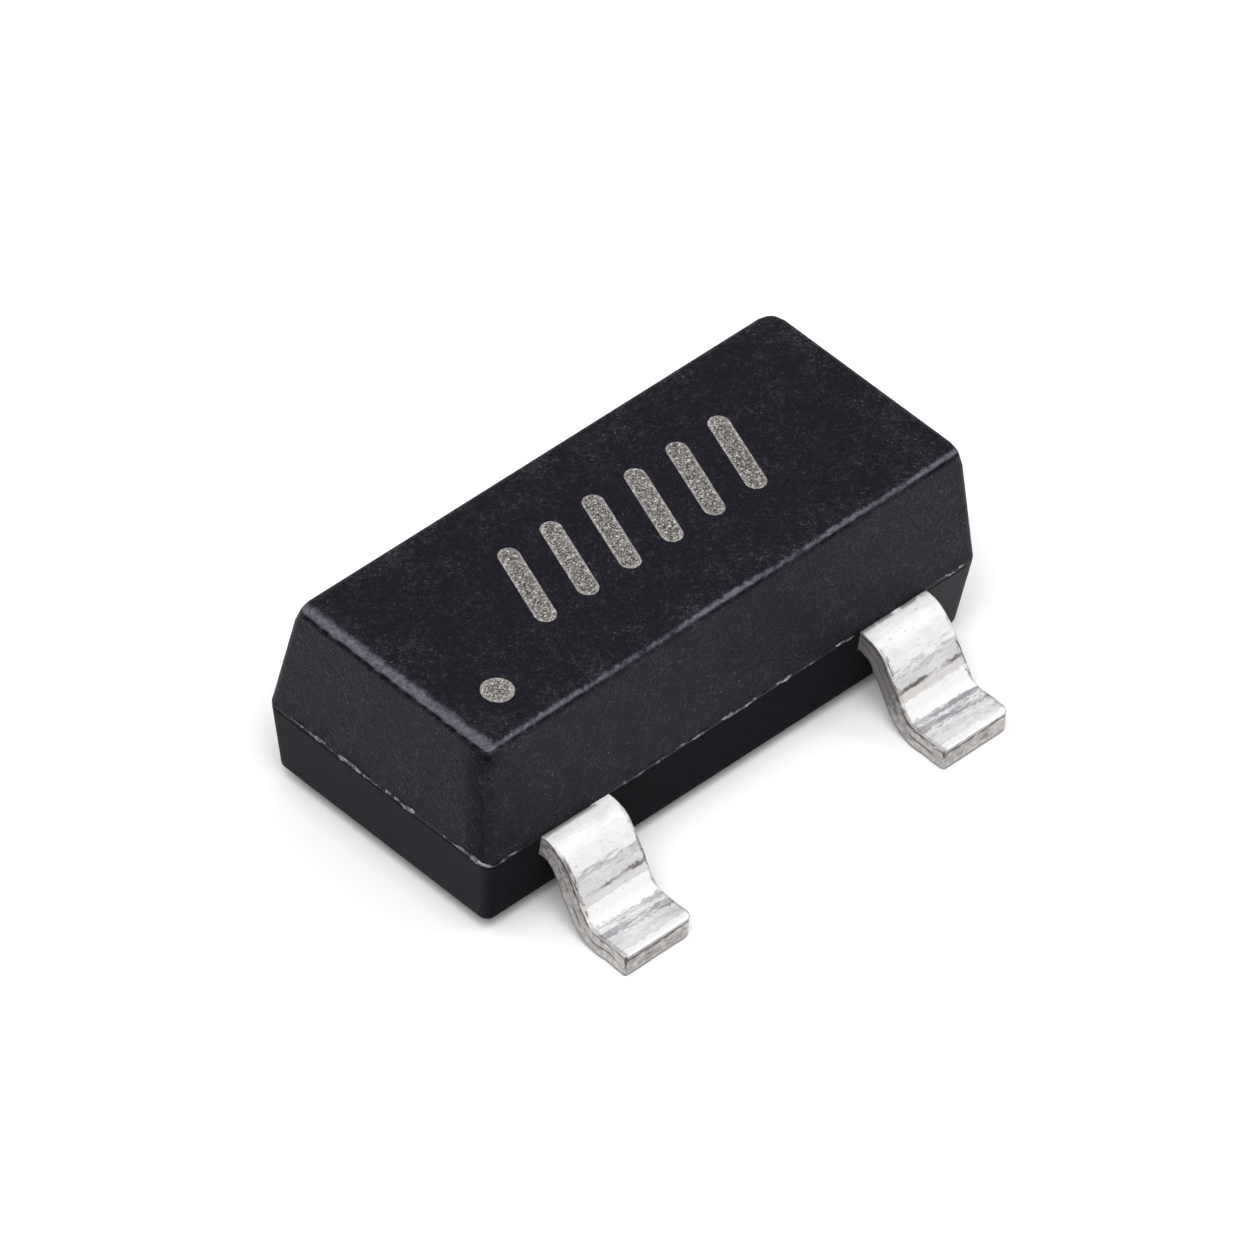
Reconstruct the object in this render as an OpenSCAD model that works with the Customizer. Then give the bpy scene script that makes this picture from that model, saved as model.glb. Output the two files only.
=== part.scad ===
// Three-lead surface-mount transistor in a small moulded outline package.
// Millimetres. Z = 0 is the seating plane under the feet, X runs along the body,
// the base and emitter leads leave towards -Y and the collector lead towards +Y.

/* [Moulded body] */
// Length of the body at the parting line
body_l = 2.92; // [2.80:0.01:3.04]
// Width of the body at the parting line
body_w = 1.36; // [1.20:0.01:1.40]
// Height of the top face above the seating plane
body_top = 1.03; // [0.95:0.01:1.12]
// Gap between the body's underside and the seating plane
standoff = 0.06; // [0.02:0.01:0.10]
// Height of the parting line above the seating plane
parting_z = 0.435; // [0.40:0.005:0.50]
// Height of the blunt land that the two mould halves leave at the parting line
parting_land = 0.03; // [0.02:0.005:0.05]
// Draft of the upper half's ends, in degrees
top_draft_end = 3.5; // [1:0.5:10]
// Draft of the upper half's long sides, in degrees
top_draft_side = 8.2; // [2:0.1:12]
// Draft of the lower half's ends, in degrees
low_draft_end = 6.6; // [1:0.1:10]
// Draft of the lower half's long sides, in degrees
low_draft_side = 4.8; // [1:0.1:10]
// Radius of the upright corners, seen from above
corner_r = 0.06; // [0.04:0.01:0.10]
// Radius along the rim of the top and bottom faces
edge_r = 0.03; // [0.01:0.005:0.04]

/* [Leads outside the body] */
// Width of a lead
lead_w = 0.40; // [0.30:0.01:0.50]
// Thickness of the lead strip
lead_t = 0.115; // [0.08:0.005:0.15]
// Distance from the package centre line to the base or emitter lead
lead_pitch = 0.95; // [0.90:0.01:1.00]
// Straight length between the body and the shoulder bend
shoulder_l = 0.008; // [0.002:0.002:0.04]
// Inside radius of the shoulder bend
shoulder_r = 0.08; // [0.05:0.005:0.12]
// Inside radius of the foot bend
foot_r = 0.11; // [0.06:0.005:0.14]
// Slope of the lead between its two bends, in degrees from level
lead_slope = 57; // [45:1:75]
// Flat length of the foot
foot_l = 0.16; // [0.10:0.01:0.30]
// Radius of the toe's corners, seen from above
toe_r = 0.03; // [0.01:0.005:0.05]

/* [Lead frame inside the body] */
// Resin between the body's long side and the wide part of a lead
lead_seal = 0.22; // [0.15:0.01:0.30]
// Length of the die pad, along the body
pad_l = 0.96; // [0.80:0.01:1.10]
// Width of the die pad, across the body
pad_w = 0.84; // [0.70:0.01:0.90]
// Width of a bond post, across the body
post_w = 0.36; // [0.25:0.01:0.45]
// Gap between the die pad and each bond post
frame_gap = 0.13; // [0.08:0.01:0.20]
// How far a bond post reaches past its lead, towards the body's end
post_lug = 0.06; // [0.02:0.01:0.12]
// Corner radius of the pad and the posts
frame_r = 0.05; // [0.02:0.01:0.08]
// Radius of the round notches that key a lead into the resin
lock_r = 0.05; // [0.03:0.005:0.07]

/* [Die and bond wires] */
// Side of the square silicon die
die_side = 0.40; // [0.25:0.01:0.50]
// Thickness of the die
die_t = 0.15; // [0.10:0.01:0.20]
// Thickness of the adhesive layer under the die
attach_t = 0.015; // [0.01:0.005:0.03]
// How far the adhesive squeezes out round the die
attach_rim = 0.02; // [0.01:0.005:0.05]
// Distance of each bond from the die's centre, along both sides
bond_offset = 0.09; // [0.05:0.01:0.12]
// Diameter of the bond wire
wire_d = 0.028; // [0.02:0.001:0.04]
// Diameter of the ball bond on the die
ball_d = 0.075; // [0.06:0.005:0.10]
// Height of the ball bond on the die
ball_h = 0.025; // [0.015:0.005:0.04]
// Rise of the wire's loop above the ball bond
loop_h = 0.13; // [0.08:0.01:0.18]
// Length of the flattened stitch at the post
stitch_l = 0.06; // [0.04:0.01:0.10]

/* [Hidden] */

// Facets along one bend, round one corner of the moulding and round a notch
bend_steps = 12;
corner_fn = 24;
notch_fn = 48;

// The frame's top face lies on the parting line, where the mould halves clamp it
frame_top = parting_z;
frame_low = frame_top - lead_t;
seal_y = body_w / 2 - lead_seal;
die_y = seal_y - pad_w / 2;
die_low = frame_top + attach_t;
die_top = die_low + die_t;

// The strip's bends: centre line radii, drop and run from shoulder to foot
shoulder_mid_r = shoulder_r + lead_t / 2;
foot_mid_r = foot_r + lead_t / 2;
bends_drop = (shoulder_mid_r + foot_mid_r) * (1 - cos(lead_slope));
slope_l = (frame_low - bends_drop) / sin(lead_slope);
bends_run = (shoulder_mid_r + foot_mid_r) * sin(lead_slope) + slope_l * cos(lead_slope);
shoulder_y = body_w / 2 + shoulder_l;
foot_y = shoulder_y + bends_run;
toe_y = foot_y + foot_l;

// The strip is longer than the blanks that are cut from it
strip_in = min(seal_y - pad_w, seal_y - post_w) - lead_t;
strip_out = toe_y + lead_t;

// The bond posts beside the die pad, in the signal lead's own half
post_x0 = pad_l / 2 + frame_gap;
post_x1 = lead_pitch + lead_w / 2 + post_lug;
post_y0 = seal_y - post_w;
stitch_at = [(post_x0 + post_x1) / 2, (post_y0 + seal_y) / 2];

// Rings along a bond wire's loop, and facets round it
wire_rings = 20;
wire_sides = 12;
// The ball bond's outline: shares of its height and of its radius
ball_shape = [[0, 0.80], [0.35, 1.00], [0.75, 0.85]];
// The stitch's height and width, as shares of the wire's
stitch_press = 0.60;
stitch_spread = 1.70;
// Height of the loop's first control point over its rise, and the share of the span that its end lies level
loop_gain = 1.67;
loop_level = 0.35;
// A ring has a flat at its bottom, so a level wire lies on a face
wire_flat = cos(180 / wire_sides);

function arc(centre, radius, from, to) =
    [for (i = [0 : bend_steps])
        let (a = from + (to - from) * i / bend_steps)
        centre + radius * [cos(a), sin(a)]];

function rounded_box(x0, y0, x1, y1, r) = concat(
    arc([x1 - r, y1 - r], r, 0, 90),
    arc([x0 + r, y1 - r], r, 90, 180),
    arc([x0 + r, y0 + r], r, 180, 270),
    arc([x1 - r, y0 + r], r, 270, 360)
);

// One level outline of the moulding, as four corner posts to be hulled
module corner_posts(l, w) {
    for (x = [-1, 1], y = [-1, 1])
        translate([x * (l / 2 - corner_r), y * (w / 2 - corner_r), 0])
            children();
}

// A rim at height z: the drafted outline with its edge rounded off
module rim(z, draft_end, draft_side) {
    rise = abs(z - parting_z) - parting_land / 2;
    centre_z = z - sign(z - parting_z) * edge_r;
    translate([0, 0, centre_z])
        corner_posts(body_l - 2 * rise * tan(draft_end), body_w - 2 * rise * tan(draft_side))
            rotate_extrude($fn = corner_fn)
                translate([corner_r - edge_r, 0])
                    circle(r = edge_r, $fn = corner_fn);
}

// The moulding before the lead frame, die and wires take their room in it
module moulding() {
    hull() {
        translate([0, 0, parting_z - parting_land / 2])
            corner_posts(body_l, body_w)
                cylinder(r = corner_r, h = parting_land, $fn = corner_fn);
        rim(body_top, top_draft_end, top_draft_side);
        rim(standoff, low_draft_end, low_draft_side);
    }
}

// Side view of a formed strip that leaves the body towards +Y, as [y, z]
function strip_outline() =
    let (
        shoulder_c = [shoulder_y, frame_low - shoulder_r],
        foot_c = [foot_y, lead_t + foot_r],
        steep = 90 - lead_slope
    )
    concat(
        [[strip_in, frame_top]],
        arc(shoulder_c, shoulder_r + lead_t, 90, steep),
        arc(foot_c, foot_r, 180 + steep, 270),
        [[strip_out, lead_t], [strip_out, 0]],
        arc(foot_c, foot_r + lead_t, 270, 180 + steep),
        arc(shoulder_c, shoulder_r, steep, 90),
        [[strip_in, frame_low]]
    );

// A formed strip wide enough for any blank, standing across X
module formed_strip() {
    rotate([90, 0, 90])
        linear_extrude(height = body_l, center = true)
            polygon(strip_outline());
}

// Plan of the stamped blank: the lead at x, with round notches that key it into the resin
module lead_blank(x) {
    difference() {
        union() {
            polygon(rounded_box(x - lead_w / 2, seal_y - lead_w, x + lead_w / 2, toe_y, toe_r));
            children();
        }
        for (side = [-1, 1])
            translate([x + side * lead_w / 2, seal_y + lead_seal / 2])
                circle(r = lock_r, $fn = notch_fn);
    }
}

// A lead is its blank cut from the formed strip
module formed_lead(x) {
    intersection() {
        formed_strip();
        translate([0, 0, -lead_t])
            linear_extrude(height = frame_top + 2 * lead_t)
                lead_blank(x)
                    children();
    }
}

module signal_lead() {
    formed_lead(lead_pitch)
        polygon(rounded_box(post_x0, post_y0, post_x1, seal_y, frame_r));
}

module base_lead() {
    color("silver")
        rotate([0, 0, 180])
            signal_lead();
}

module emitter_lead() {
    color("silver")
        mirror([0, 1, 0])
            signal_lead();
}

// The collector lead is one piece with the pad that the die sits on
module collector_lead() {
    color("silver")
        formed_lead(0)
            polygon(rounded_box(-pad_l / 2, seal_y - pad_w, pad_l / 2, seal_y, frame_r));
}

module die_attach() {
    side = die_side + 2 * attach_rim;
    color("gainsboro")
        translate([-side / 2, die_y - side / 2, frame_top])
            cube([side, side, attach_t]);
}

module transistor_die() {
    color("dimgray")
        translate([-die_side / 2, die_y - die_side / 2, die_low])
            cube([die_side, die_side, die_t]);
}

// The wire's loop as a cubic curve: straight up from the ball, level at the stitch
function loop_point(a, b, t) =
    let (
        back = (a - b) * loop_level,
        p1 = a + [0, 0, loop_h * loop_gain],
        p2 = b + [back[0], back[1], 0]
    )
    pow(1 - t, 3) * a + 3 * pow(1 - t, 2) * t * p1 + 3 * (1 - t) * t * t * p2 + pow(t, 3) * b;

// One ring round a point of the wire, upright across the plane that the loop lies in
function wire_ring(p, across, normal, half_w, half_h) =
    [for (i = [0 : wire_sides - 1])
        let (a = 360 * (i + 0.5) / wire_sides)
        p + across * half_w * cos(a) + normal * half_h * sin(a)];

// A ball-bonded wire from the die's top to a post, in one swept solid
module bond_wire(ball_at, stitch_to) {
    wire_r = wire_d / 2;
    plan = stitch_to - ball_at;
    along = [plan[0], plan[1], 0] / norm(plan);
    across = [-along[1], along[0], 0];
    foot = [ball_at[0], ball_at[1], die_top];
    start = foot + [0, 0, ball_h + wire_r];
    finish = [stitch_to[0], stitch_to[1], frame_top + wire_r * wire_flat];
    stitch_h = wire_r * stitch_press;
    stitch_end = [finish[0], finish[1], frame_top + stitch_h * wire_flat] + along * stitch_l;
    rings = concat(
        [for (b = ball_shape)
            let (r = b[1] * ball_d / 2)
            wire_ring(foot + [0, 0, b[0] * ball_h], across, -along, r, r)],
        [wire_ring(foot + [0, 0, ball_h], across, -along, wire_r, wire_r)],
        [for (i = [0 : wire_rings])
            let (
                t = i / wire_rings,
                step = 0.1 / wire_rings,
                ahead = loop_point(start, finish, min(t + step, 1)),
                behind = loop_point(start, finish, max(t - step, 0)),
                way = (ahead - behind) / norm(ahead - behind),
                normal = cross(across, way) * -1
            )
            wire_ring(loop_point(start, finish, t), across, normal, wire_r, wire_r)],
        [wire_ring(stitch_end, across, [0, 0, 1], wire_r * stitch_spread, stitch_h)]
    );
    last = len(rings) - 1;
    points = [for (r = rings) each r];
    sides = [for (k = [0 : last - 1], i = [0 : wire_sides - 1])
        let (
            j = (i + 1) % wire_sides,
            low = k * wire_sides,
            high = low + wire_sides
        )
        each [[low + i, high + i, high + j], [low + i, high + j, low + j]]];
    caps = [
        [for (i = [0 : wire_sides - 1]) i],
        [for (i = [wire_sides - 1 : -1 : 0]) last * wire_sides + i]
    ];
    polyhedron(points = points, faces = concat(sides, caps));
}

module base_bond_wire() {
    color("goldenrod")
        bond_wire([-bond_offset, die_y - bond_offset], -stitch_at);
}

module emitter_bond_wire() {
    color("goldenrod")
        bond_wire([bond_offset, die_y + bond_offset], [stitch_at[0], -stitch_at[1]]);
}

// The resin fills round everything that it was moulded over
module moulded_body() {
    color("#2b2b2e")
        difference() {
            moulding();
            base_lead();
            emitter_lead();
            collector_lead();
            die_attach();
            transistor_die();
            base_bond_wire();
            emitter_bond_wire();
        }
}

moulded_body();
base_lead();
emitter_lead();
collector_lead();
die_attach();
transistor_die();
base_bond_wire();
emitter_bond_wire();
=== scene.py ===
import math

import bmesh
import bpy
import numpy as np
from mathutils import Matrix, Vector, noise


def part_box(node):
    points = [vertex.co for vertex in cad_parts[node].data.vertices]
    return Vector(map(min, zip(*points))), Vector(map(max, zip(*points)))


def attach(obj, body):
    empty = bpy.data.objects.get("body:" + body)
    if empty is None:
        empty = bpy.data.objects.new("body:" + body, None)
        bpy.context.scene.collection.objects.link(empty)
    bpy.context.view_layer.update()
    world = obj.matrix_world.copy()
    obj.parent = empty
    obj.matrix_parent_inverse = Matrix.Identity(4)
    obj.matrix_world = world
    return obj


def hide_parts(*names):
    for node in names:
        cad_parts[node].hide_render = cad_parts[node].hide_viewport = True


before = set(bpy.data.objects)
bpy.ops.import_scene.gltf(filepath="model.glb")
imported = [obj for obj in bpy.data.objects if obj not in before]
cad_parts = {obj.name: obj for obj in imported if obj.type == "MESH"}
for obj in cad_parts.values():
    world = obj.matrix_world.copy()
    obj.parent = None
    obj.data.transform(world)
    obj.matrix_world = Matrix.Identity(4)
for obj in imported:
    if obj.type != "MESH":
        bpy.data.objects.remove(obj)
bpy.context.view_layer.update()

# Camera. A long lens stands off the near left corner of the body, some 44 degrees up and tilted a
# little, so that the top, the left end and the two near leads all show.
MM = 0.001
VIEW_AZIMUTH = math.radians(-47.06)
VIEW_ELEVATION = math.radians(43.755)
VIEW_TILT = math.radians(4.174)
VIEW_DISTANCE = 80.0
VIEW_HEIGHT = 0.5
VIEW_NUDGE_RIGHT = 0.0083
VIEW_NUDGE_DOWN = 0.0397
SENSOR = 36.0
LENS = 537.14

camera_back = Vector((
    math.sin(VIEW_AZIMUTH) * math.cos(VIEW_ELEVATION),
    -math.cos(VIEW_AZIMUTH) * math.cos(VIEW_ELEVATION),
    math.sin(VIEW_ELEVATION),
))
level_right = Vector((math.cos(VIEW_AZIMUTH), math.sin(VIEW_AZIMUTH), 0))
level_up = camera_back.cross(level_right)
camera_right = level_right * math.cos(VIEW_TILT) + level_up * math.sin(VIEW_TILT)
camera_up = level_up * math.cos(VIEW_TILT) - level_right * math.sin(VIEW_TILT)
aim = Vector((0, 0, VIEW_HEIGHT)) + camera_right * VIEW_NUDGE_RIGHT - camera_up * VIEW_NUDGE_DOWN
camera_place = (aim + camera_back * VIEW_DISTANCE) * MM
camera_turn = Matrix((camera_right, camera_up, camera_back)).transposed().to_4x4()


def new_object(name, data):
    """An object of that data, put into the scene."""
    made = bpy.data.objects.new(name, data)
    bpy.context.scene.collection.objects.link(made)
    return made


camera_data = bpy.data.cameras.new("photo_camera")
camera_data.sensor_width = SENSOR
camera_data.lens = LENS
camera_data.clip_start = 1 * MM
camera_data.clip_end = 10.0
camera = new_object("photo_camera", camera_data)
camera.matrix_world = Matrix.Translation(camera_place) @ camera_turn
bpy.context.scene.camera = camera

# Studio. The part stands on a sheet of white paper in a pale room, under a broad softbox overhead;
# a small lamp at the right glints on the bends of the leads.
FLOOR_RADIUS = 400.0
FLOOR_SIDES = 96
PAPER_WHITE = (0.80, 0.80, 0.80, 1)
PAPER_SEEN = (1.17, 1.17, 1.17, 1)
ROOM_WHITE = (1.0, 1.0, 1.0, 1)
ROOM_HORIZON = 0.42
ROOM_ZENITH = 0.535
ROOM_RISE = 0.55
LAMPS = {
    "softbox": ((-30.0, -22.0, 84.0), 70.0, 0.052),
    "glint_lamp": ((46.0, -26.0, 69.0), 26.0, 0.0064),
}


def add(tree, kind, inputs=None, **settings):
    """Adds a node. An input is set to a plain value, or linked where the value is a socket."""
    made = tree.nodes.new(kind)
    for name, value in settings.items():
        setattr(made, name, value)
    for key, value in (inputs or {}).items():
        if isinstance(value, bpy.types.NodeSocket):
            tree.links.new(value, made.inputs[key])
        else:
            made.inputs[key].default_value = value
    return made


def calc(tree, operation, *values):
    """The result of a Math node on numbers or sockets."""
    return add(tree, "ShaderNodeMath", dict(enumerate(values)), operation=operation).outputs[0]


def scaled(tree, value, factor, shift):
    """A value times a factor, plus a shift."""
    return calc(tree, "MULTIPLY_ADD", value, factor, shift)


def most(tree, largest, *others):
    """The largest of several values."""
    for other in others:
        largest = calc(tree, "MAXIMUM", largest, other)
    return largest


def fade(tree, value, start, end):
    """A soft step: 0 where value is at start, 1 where it is at end."""
    inputs = {"Value": value, "From Min": start, "From Max": end}
    return add(tree, "ShaderNodeMapRange", inputs, interpolation_type="SMOOTHSTEP").outputs[0]


def empty_tree(owner):
    """The owner's node tree, cleared."""
    owner.use_nodes = True
    owner.node_tree.nodes.clear()
    return owner.node_tree


def mix(tree, share, plain, other):
    """Colour that goes from plain to other as the share goes from 0 to 1."""
    inputs = {0: share, 6: plain, 7: other}
    return add(tree, "ShaderNodeMix", inputs, data_type="RGBA").outputs[2]


def paper_material():
    """White paper, over-exposed to the eye as in a product shot: it shows white but keeps shadows."""
    material = bpy.data.materials.new("white_paper")
    tree = empty_tree(material)
    path = add(tree, "ShaderNodeLightPath")
    rays = (path.outputs[f"Is {kind} Ray"] for kind in ("Camera", "Glossy", "Transmission"))
    tone = mix(tree, most(tree, *rays), PAPER_WHITE, PAPER_SEEN)
    paper = add(tree, "ShaderNodeBsdfDiffuse", {"Color": tone})
    add(tree, "ShaderNodeOutputMaterial", {"Surface": paper.outputs[0]})
    return material


floor_mesh = bpy.data.meshes.new("paper_floor")
floor_form = bmesh.new()
bmesh.ops.create_circle(floor_form, cap_ends=True, segments=FLOOR_SIDES, radius=FLOOR_RADIUS * MM)
floor_form.to_mesh(floor_mesh)
floor_form.free()
floor_mesh.materials.append(paper_material())
floor = new_object("paper_floor", floor_mesh)

room = bpy.data.worlds.new("white_room")
room_tree = empty_tree(room)
direction = add(room_tree, "ShaderNodeTexCoord").outputs["Generated"]
height = add(room_tree, "ShaderNodeSeparateXYZ", {0: direction}).outputs["Z"]
rise = fade(room_tree, height, 0.0, ROOM_RISE)
span = ROOM_ZENITH - ROOM_HORIZON
level = scaled(room_tree, rise, span, ROOM_HORIZON)
sky = add(room_tree, "ShaderNodeBackground", {"Color": ROOM_WHITE, "Strength": level})
add(room_tree, "ShaderNodeOutputWorld", {"Surface": sky.outputs[0]})
bpy.context.scene.world = room

for lamp_name, (lamp_place, lamp_size, watts) in LAMPS.items():
    lamp_data = bpy.data.lights.new(lamp_name, "AREA")
    lamp_data.size = lamp_size * MM
    lamp_data.energy = watts
    lamp = new_object(lamp_name, lamp_data)
    lamp.location = Vector(lamp_place) * MM
    lamp.rotation_euler = lamp.location.to_track_quat("Z", "Y").to_euler()
bpy.context.scene.view_settings.view_transform = "Standard"

# Leads. Three strips stamped from copper-alloy sheet and tin plated; after moulding they are cut
# free and bent down to feet in a forming tool. The collector's strip carries the die pad, the
# other two end in bond posts, and round notches key all three into the resin.
LEAD_WIDTH = 0.40
LEAD_THICK = 0.115
LEAD_PITCH = 0.95
SHOULDER_START = 0.688
SHOULDER_RADIUS = 0.080 + LEAD_THICK / 2
FOOT_RADIUS = 0.110 + LEAD_THICK / 2
LEAD_SLOPE = math.radians(57)
FOOT_FLAT = 0.16
TOE_CORNER_SHARP = 0.012
TOE_CORNER_ROUND = 0.044
TOE_EDGE = 0.016
TOE_UNDER = 0.35
STAMPED_EDGE = 0.008
EDGE_WAVER = 0.005
RIPPLE = 0.0010
TOE_RIPPLE = 0.0012
CRACK_DEPTH = 0.0045
TEAR_DEPTH = 0.0015
NICK_DEPTH = 0.003
SEAL_PLACE = 0.46
NOTCH_PLACE = 0.57
NOTCH_RADIUS = 0.05
POST = (0.61, 1.21, 0.10)
DIE_PAD = (-0.48, 0.48, -0.38)
FRAME_CORNER = 0.05
OUTSIDE = 0.645
LEAD_STEP = 0.005
TOP_STEPS = 72
EDGE_STEPS = 18
ROUND_STEPS = 3
CAP_STEPS = 6

lead_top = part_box("collector_lead")[1].z / MM
lead_mid = lead_top - LEAD_THICK / 2
slope_drop = lead_top - LEAD_THICK - (SHOULDER_RADIUS + FOOT_RADIUS) * (1 - math.cos(LEAD_SLOPE))
SLOPE_LENGTH = slope_drop / math.sin(LEAD_SLOPE)
slope_start = SHOULDER_START + SHOULDER_RADIUS * LEAD_SLOPE
foot_start = slope_start + SLOPE_LENGTH
foot_flat_start = foot_start + FOOT_RADIUS * LEAD_SLOPE
blank_end = foot_flat_start + FOOT_FLAT


def noise_at(points, cell, shift):
    """Smooth random values, about -1 to 1, at points in mm: cell is the size of one lump."""
    return np.array([noise.noise(Vector(p)) for p in points / cell + shift])


def soft_step(values, start, end):
    """0 where values are at start, 1 where they are at end, with a smooth change between."""
    share = np.clip((values - start) / (end - start), 0, 1)
    return share * share * (3 - 2 * share)


def cap_rings(ring, spine, steps):
    """Rings that close a flat end: each point of the ring moves in to its place on the spine."""
    shares = np.linspace(0, 1, steps + 1)[1:]
    return ring + shares[:, None, None] * (spine - ring)


def loft(rings):
    """Points and quads of the skin through rings of points, shaped (levels, around, 3)."""
    index = np.arange(rings.shape[0] * rings.shape[1]).reshape(rings.shape[:2])
    ahead = np.roll(index, -1, axis=1)
    quads = np.stack([index[:-1], ahead[:-1], ahead[1:], index[1:]], axis=-1)
    return rings.reshape(-1, 3), quads.reshape(-1, 4)


def mesh_piece(name, points, faces, fields):
    """A smooth closed mesh object from points in mm, with a named field of values on its points."""
    mesh = bpy.data.meshes.new(name)
    mesh.from_pydata((points * MM).tolist(), [], faces.tolist())
    for key, values in fields.items():
        kind = "FLOAT_VECTOR" if values.ndim == 2 else "FLOAT"
        layer = mesh.attributes.new(key, kind, "POINT")
        layer.data.foreach_set("vector" if values.ndim == 2 else "value", values.ravel())
    form = bmesh.new()
    form.from_mesh(mesh)
    bmesh.ops.remove_doubles(form, verts=form.verts, dist=1e-5 * MM)
    bmesh.ops.recalc_face_normals(form, faces=form.faces)
    form.to_mesh(mesh)
    form.free()
    mesh.shade_smooth()
    return new_object(name, mesh)


def lead_section():
    """Round a lead's section: places on its inner rectangle, and the outward way at each."""
    corners = np.array([[-1, 1], [1, 1], [1, -1], [-1, -1]], float)
    outward = np.array([[0, 1], [1, 0], [0, -1], [-1, 0]], float)
    steps = [TOP_STEPS, EDGE_STEPS, TOP_STEPS, EDGE_STEPS]
    turns = np.linspace(0, math.pi / 2, ROUND_STEPS + 2)[1:-1, None]
    places, ways = [], []
    for k in range(4):
        after = (k + 1) % 4
        share = np.linspace(0, 1, steps[k] + 1)[:, None]
        places.append(corners[k] + share * (corners[after] - corners[k]))
        ways.append(np.repeat(outward[k:k + 1], steps[k] + 1, axis=0))
        places.append(np.repeat(corners[after:after + 1], ROUND_STEPS, axis=0))
        ways.append(np.cos(turns) * outward[k] + np.sin(turns) * outward[after])
    return np.concatenate(places), np.concatenate(ways)


def lead_stations(inner):
    """Places along a blank where its outline is drawn: close together where it turns or shows."""
    turn = np.linspace(0, math.pi / 2, 7)
    corner = FRAME_CORNER * (1 - np.cos(turn))
    notch = NOTCH_PLACE - NOTCH_RADIUS * np.cos(np.linspace(0, math.pi, 15))
    shown_steps = round((blank_end - TOE_EDGE - OUTSIDE) / LEAD_STEP)
    shown = np.linspace(OUTSIDE, blank_end - TOE_EDGE, shown_steps)
    toe = blank_end - TOE_EDGE + TOE_EDGE * np.sin(turn[1:])
    past_seal = np.array([SEAL_PLACE + 1e-4])
    return np.concatenate([inner + corner, SEAL_PLACE - corner[::-1], past_seal, notch, shown, toe])


def lead_outline(along, centre, pad, toe_corners):
    """Low and high edge of a blank at each place along it."""
    pad_low, pad_high, inner = pad
    from_end = np.minimum(along - inner, SEAL_PLACE - along)
    bite = np.clip(FRAME_CORNER - from_end, 0, FRAME_CORNER)
    rounding = FRAME_CORNER - np.sqrt(FRAME_CORNER ** 2 - bite ** 2)
    key = np.sqrt(np.clip(NOTCH_RADIUS ** 2 - (along - NOTCH_PLACE) ** 2, 0, None))
    low_toe, high_toe = (end_rounding(along, radius) for radius in toe_corners)
    low = centre - LEAD_WIDTH / 2 + key + low_toe
    high = centre + LEAD_WIDTH / 2 - key - high_toe
    inside = along <= SEAL_PLACE
    low = np.where(inside, pad_low + rounding, low)
    high = np.where(inside, pad_high - rounding, high)
    return low, high


def end_rounding(along, radius):
    """How far a corner or edge of that radius has drawn in, at each place near a blank's end."""
    past = np.clip(along - (blank_end - radius), 0, radius)
    return radius - np.sqrt(radius ** 2 - past ** 2)


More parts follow.
